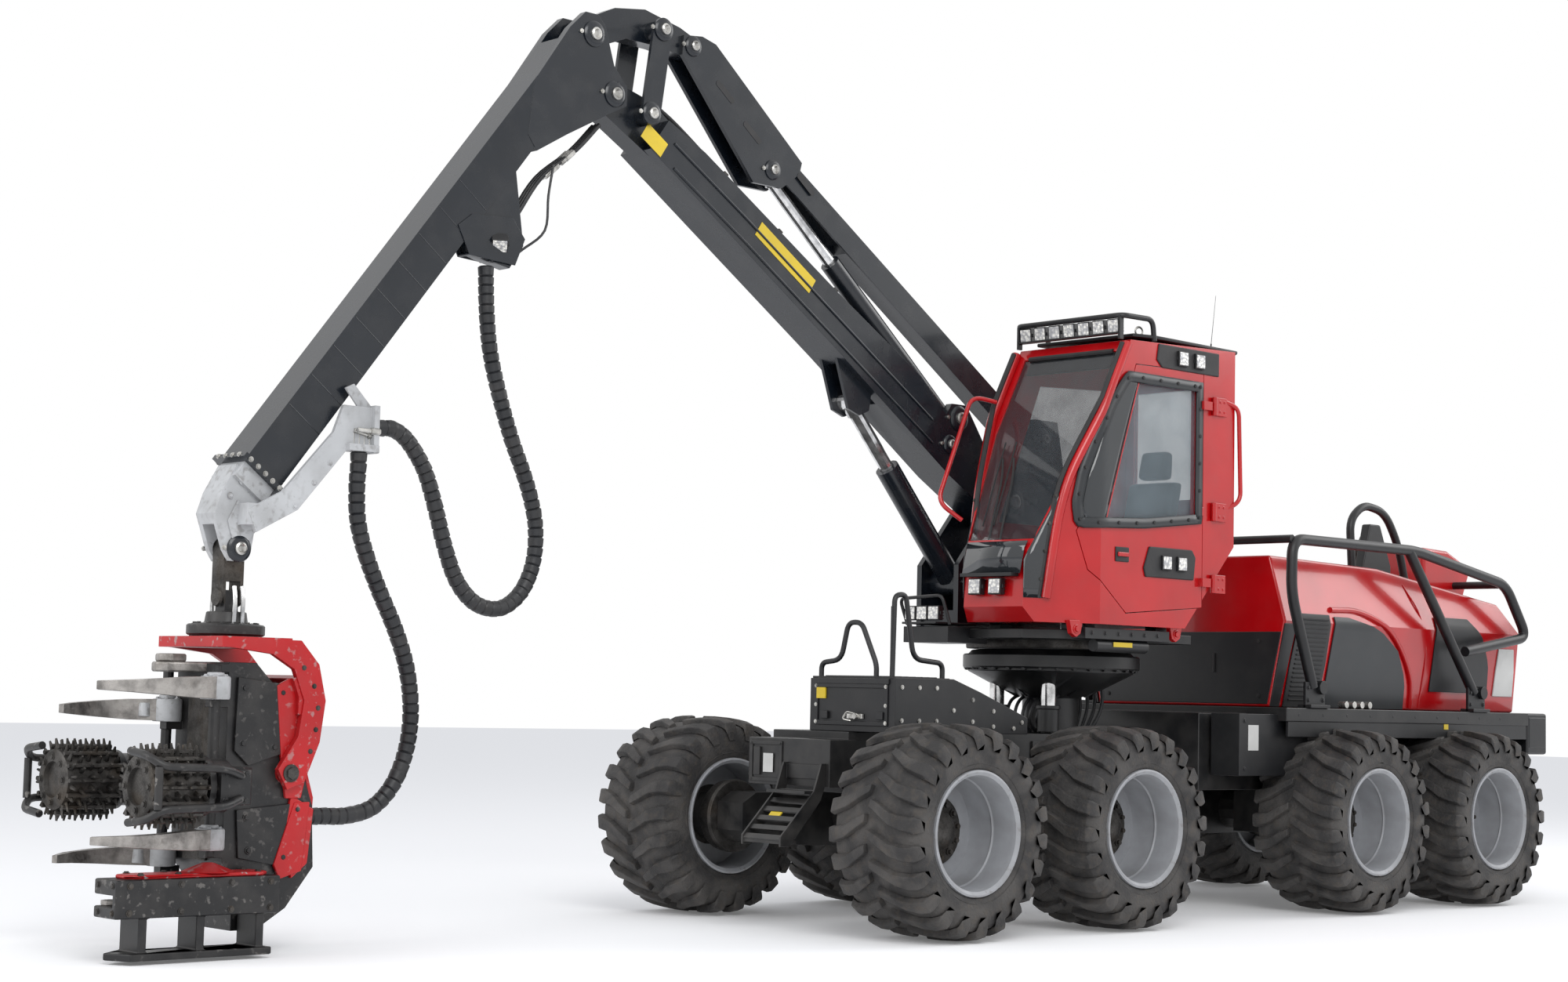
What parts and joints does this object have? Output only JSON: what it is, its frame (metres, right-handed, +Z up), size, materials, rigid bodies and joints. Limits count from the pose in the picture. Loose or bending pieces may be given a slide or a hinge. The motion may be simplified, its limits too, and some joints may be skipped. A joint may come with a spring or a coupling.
{
  "type": "forestry harvester",
  "caption": "Articulated wheeled forestry harvester with a slewing cab and parallel crane, carrying a tree-felling and delimbing head.",
  "frame": {"origin": "on the ground, under the middle of the whole machine's length, on its centreline", "axes": "+X forward towards the crane's head, +Y to the machine's left, +Z up"},
  "size_m": [12.2, 2.924, 5.84],
  "materials": {
    "red_paint": "glossy red machine paint, worn and dusty at the edges",
    "black_paint": "satin black paint with dust",
    "crane_paint": "satin blue-black crane paint",
    "tyre_rubber": "lugged forestry tyre with dry mud, on a light grey dished rim",
    "grey_casting": "light grey painted casting",
    "worn_steel": "worn bare steel",
    "chrome": "polished cylinder rod",
    "glass": "tinted safety glass",
    "seat_fabric": "black seat cloth",
    "hose_rubber": "black spiral-wrapped hose sleeve"
  },
  "bodies": {
    "front_chassis": {"front_bogie_axle": "black_paint", "front_frame": "black_paint", "front_handrail": "black_paint", "front_steps": "black_paint", "front_toolbox": "black_paint", "side_handrail": "black_paint", "slew_base": "black_paint"},
    "rear_chassis": {"engine_block": "black_paint", "engine_hood": "red_paint", "exhaust_fin": "black_paint", "guard_rail_left": "black_paint", "guard_rail_right": "black_paint", "rear_bogie_axle": "black_paint", "rear_bumper": "black_paint", "rear_frame": "black_paint", "top_cover": "red_paint"},
    "slew_platform": {"cab_shell": "red_paint", "crane_pillar": "crane_paint", "operator_seat": "seat_fabric", "rear_window": "glass", "roof_light_bar": "black_paint", "side_window": "glass", "turntable": "black_paint", "windscreen": "glass"},
    "cab_door": {"cab_door": "red_paint", "door_window": "glass"},
    "main_boom": {"main_boom": "crane_paint"},
    "lift_barrel": {"lift_cylinder": "crane_paint"},
    "lift_rod": {"lift_rod": "chrome"},
    "outer_boom": {"hose_upper": "hose_rubber", "outer_boom": "crane_paint"},
    "rocker": {"rocker_link": "crane_paint"},
    "top_link": {"top_link": "crane_paint"},
    "pull_bar": {"pull_bar": "crane_paint"},
    "stick_barrel": {"stick_cylinder": "crane_paint"},
    "stick_rod": {"stick_rod": "chrome"},
    "extension_boom": {"extension_boom": "grey_casting", "hose_lower": "hose_rubber"},
    "crane_link": {"crane_link": "crane_paint"},
    "rotator": {"rotator": "black_paint"},
    "head_bracket": {"head_bracket": "red_paint"},
    "head_frame": {"head_frame": "black_paint", "saw_box": "black_paint"},
    "saw_bar": {"saw_bar": "worn_steel"},
    "upper_knife_left": {"upper_knife_left": "worn_steel"},
    "lower_knife_left": {"lower_knife_left": "worn_steel"},
    "feed_arm_left": {"feed_arm_left": "black_paint"},
    "feed_roller_left": {"feed_roller_left": "worn_steel"},
    "upper_knife_right": {"upper_knife_right": "worn_steel"},
    "lower_knife_right": {"lower_knife_right": "worn_steel"},
    "feed_arm_right": {"feed_arm_right": "black_paint"},
    "feed_roller_right": {"feed_roller_right": "worn_steel"},
    "wheel_front_1_left": {"wheel_front_1_left": "tyre_rubber"},
    "wheel_front_1_right": {"wheel_front_1_right": "tyre_rubber"},
    "wheel_front_2_left": {"wheel_front_2_left": "tyre_rubber"},
    "wheel_front_2_right": {"wheel_front_2_right": "tyre_rubber"},
    "wheel_rear_1_left": {"wheel_rear_1_left": "tyre_rubber"},
    "wheel_rear_1_right": {"wheel_rear_1_right": "tyre_rubber"},
    "wheel_rear_2_left": {"wheel_rear_2_left": "tyre_rubber"},
    "wheel_rear_2_right": {"wheel_rear_2_right": "tyre_rubber"}
  },
  "joints": [
    {"name": "wheel_front_1_left_spin", "type": "hinge", "parent": "front_chassis", "child": "wheel_front_1_left", "pos_m": [1.124, 1.107, 0.66278], "axis": [0, 1, 0], "continuous": true},
    {"name": "wheel_front_1_right_spin", "type": "hinge", "parent": "front_chassis", "child": "wheel_front_1_right", "pos_m": [1.124, -1.107, 0.66278], "axis": [0, 1, 0], "continuous": true},
    {"name": "wheel_front_2_left_spin", "type": "hinge", "parent": "front_chassis", "child": "wheel_front_2_left", "pos_m": [-0.484, 1.107, 0.66278], "axis": [0, 1, 0], "continuous": true},
    {"name": "wheel_front_2_right_spin", "type": "hinge", "parent": "front_chassis", "child": "wheel_front_2_right", "pos_m": [-0.484, -1.107, 0.66278], "axis": [0, 1, 0], "continuous": true},
    {"name": "wheel_rear_1_left_spin", "type": "hinge", "parent": "rear_chassis", "child": "wheel_rear_1_left", "pos_m": [-3.149, 1.107, 0.66278], "axis": [0, 1, 0], "continuous": true},
    {"name": "wheel_rear_1_right_spin", "type": "hinge", "parent": "rear_chassis", "child": "wheel_rear_1_right", "pos_m": [-3.149, -1.107, 0.66278], "axis": [0, 1, 0], "continuous": true},
    {"name": "wheel_rear_2_left_spin", "type": "hinge", "parent": "rear_chassis", "child": "wheel_rear_2_left", "pos_m": [-4.757, 1.107, 0.66278], "axis": [0, 1, 0], "continuous": true},
    {"name": "wheel_rear_2_right_spin", "type": "hinge", "parent": "rear_chassis", "child": "wheel_rear_2_right", "pos_m": [-4.757, -1.107, 0.66278], "axis": [0, 1, 0], "continuous": true},
    {"name": "frame_steer", "type": "hinge", "parent": "front_chassis", "child": "rear_chassis", "pos_m": [-1.816, 0, 1.1], "axis": [0, 0, 1], "range_deg": [-34, 34]},
    {"name": "slew", "type": "hinge", "parent": "front_chassis", "child": "slew_platform", "pos_m": [-1.18, 0, 1.9], "axis": [0, 0, 1], "continuous": true},
    {"name": "cab_door_hinge", "type": "hinge", "parent": "slew_platform", "child": "cab_door", "pos_m": [-1.795, 0.9253, 2.9], "axis": [0, 0, 1], "range_deg": [0, 80]},
    {"name": "main_boom_lift", "type": "hinge", "parent": "slew_platform", "child": "main_boom", "pos_m": [-1.08, -0.5, 2.9], "axis": [0, -1, 0], "range_deg": [-34, 26]},
    {"name": "lift_cylinder_pivot", "type": "hinge", "parent": "slew_platform", "child": "lift_barrel", "pos_m": [-0.68, -0.5, 2.3], "axis": [0, -1, 0], "range_deg": [-40, 40]},
    {"name": "lift_cylinder_slide", "type": "slide", "parent": "lift_barrel", "child": "lift_rod", "axis": [0.669, 0, 0.7433], "range_m": [-0.5, 0.5]},
    {"name": "outer_boom_fold", "type": "hinge", "parent": "main_boom", "child": "outer_boom", "pos_m": [2.67, -0.5, 5.22], "axis": [0, 1, 0], "range_deg": [-60, 16]},
    {"name": "rocker_pivot", "type": "hinge", "parent": "main_boom", "child": "rocker", "pos_m": [2.39, -0.5, 5.14], "axis": [0, 1, 0], "range_deg": [-60, 60]},
    {"name": "top_link_pivot", "type": "hinge", "parent": "rocker", "child": "top_link", "pos_m": [2.31, -0.5, 5.7], "axis": [0, 1, 0], "range_deg": [-60, 60]},
    {"name": "pull_bar_pivot", "type": "hinge", "parent": "top_link", "child": "pull_bar", "pos_m": [1.98, -0.5, 5.67], "axis": [0, 1, 0], "range_deg": [-60, 60]},
    {"name": "stick_cylinder_pivot", "type": "hinge", "parent": "main_boom", "child": "stick_barrel", "pos_m": [-0.55, -0.5, 3.46], "axis": [0, 1, 0], "range_deg": [-10, 10]},
    {"name": "stick_cylinder_slide", "type": "slide", "parent": "stick_barrel", "child": "stick_rod", "axis": [0.7661, 0, 0.6427], "range_m": [-0.7, 0.7]},
    {"name": "extension_slide", "type": "slide", "parent": "outer_boom", "child": "extension_boom", "axis": [0.6103, 0, -0.7922], "range_m": [0, 1.8], "deforming": ["hose_upper"]},
    {"name": "link_swing", "type": "hinge", "parent": "extension_boom", "child": "crane_link", "pos_m": [5.22, -0.5, 2.21], "axis": [0, -1, 0], "range_deg": [-45, 45], "deforming": ["hose_lower"]},
    {"name": "link_sway", "type": "hinge", "parent": "crane_link", "child": "rotator", "pos_m": [5.22, -0.5, 1.94], "axis": [1, 0, 0], "range_deg": [-25, 25]},
    {"name": "rotator_spin", "type": "hinge", "parent": "rotator", "child": "head_bracket", "pos_m": [5.22, -0.5, 1.72], "axis": [0, 0, 1], "continuous": true},
    {"name": "head_tilt", "type": "hinge", "parent": "head_bracket", "child": "head_frame", "pos_m": [4.98, -0.5, 0.98], "axis": [0, 1, 0], "range_deg": [-10, 85]},
    {"name": "saw_bar_swing", "type": "hinge", "parent": "head_frame", "child": "saw_bar", "pos_m": [5.4, -0.2, 0.33], "axis": [0, 0, -1], "range_deg": [0, 90]},
    {"name": "upper_knife_left_hinge", "type": "hinge", "parent": "head_frame", "child": "upper_knife_left", "pos_m": [5.42, -0.25, 1.35], "axis": [0, 0, 1], "range_deg": [-35, 20]},
    {"name": "lower_knife_left_hinge", "type": "hinge", "parent": "head_frame", "child": "lower_knife_left", "pos_m": [5.42, -0.25, 0.55], "axis": [0, 0, 1], "range_deg": [-35, 20]},
    {"name": "feed_arm_left_hinge", "type": "hinge", "parent": "head_frame", "child": "feed_arm_left", "pos_m": [5.42, -0.25, 0.92], "axis": [0, 0, 1], "range_deg": [-15, 5]},
    {"name": "feed_roller_left_spin", "type": "hinge", "parent": "feed_arm_left", "child": "feed_roller_left", "pos_m": [5.82, -0.04, 0.92], "axis": [1, 0, 0], "continuous": true},
    {"name": "upper_knife_right_hinge", "type": "hinge", "parent": "head_frame", "child": "upper_knife_right", "pos_m": [5.42, -0.75, 1.35], "axis": [0, 0, -1], "range_deg": [-35, 20]},
    {"name": "lower_knife_right_hinge", "type": "hinge", "parent": "head_frame", "child": "lower_knife_right", "pos_m": [5.42, -0.75, 0.55], "axis": [0, 0, -1], "range_deg": [-35, 20]},
    {"name": "feed_arm_right_hinge", "type": "hinge", "parent": "head_frame", "child": "feed_arm_right", "pos_m": [5.42, -0.75, 0.92], "axis": [0, 0, -1], "range_deg": [-15, 5]},
    {"name": "feed_roller_right_spin", "type": "hinge", "parent": "feed_arm_right", "child": "feed_roller_right", "pos_m": [5.82, -0.96, 0.92], "axis": [1, 0, 0], "continuous": true}
  ],
  "couplings": [
    {"joint": "lift_cylinder_pivot", "follows": "main_boom_lift", "ratio": 0.93},
    {"joint": "lift_cylinder_slide", "follows": "main_boom_lift", "m_per_rad": 0.68},
    {"joint": "rocker_pivot", "follows": "outer_boom_fold", "ratio": 0.75},
    {"joint": "top_link_pivot", "follows": "outer_boom_fold", "ratio": -0.32},
    {"joint": "pull_bar_pivot", "follows": "outer_boom_fold", "ratio": -0.43},
    {"joint": "stick_cylinder_pivot", "follows": "outer_boom_fold", "ratio": -0.03},
    {"joint": "stick_cylinder_slide", "follows": "outer_boom_fold", "m_per_rad": 0.47}
  ]
}
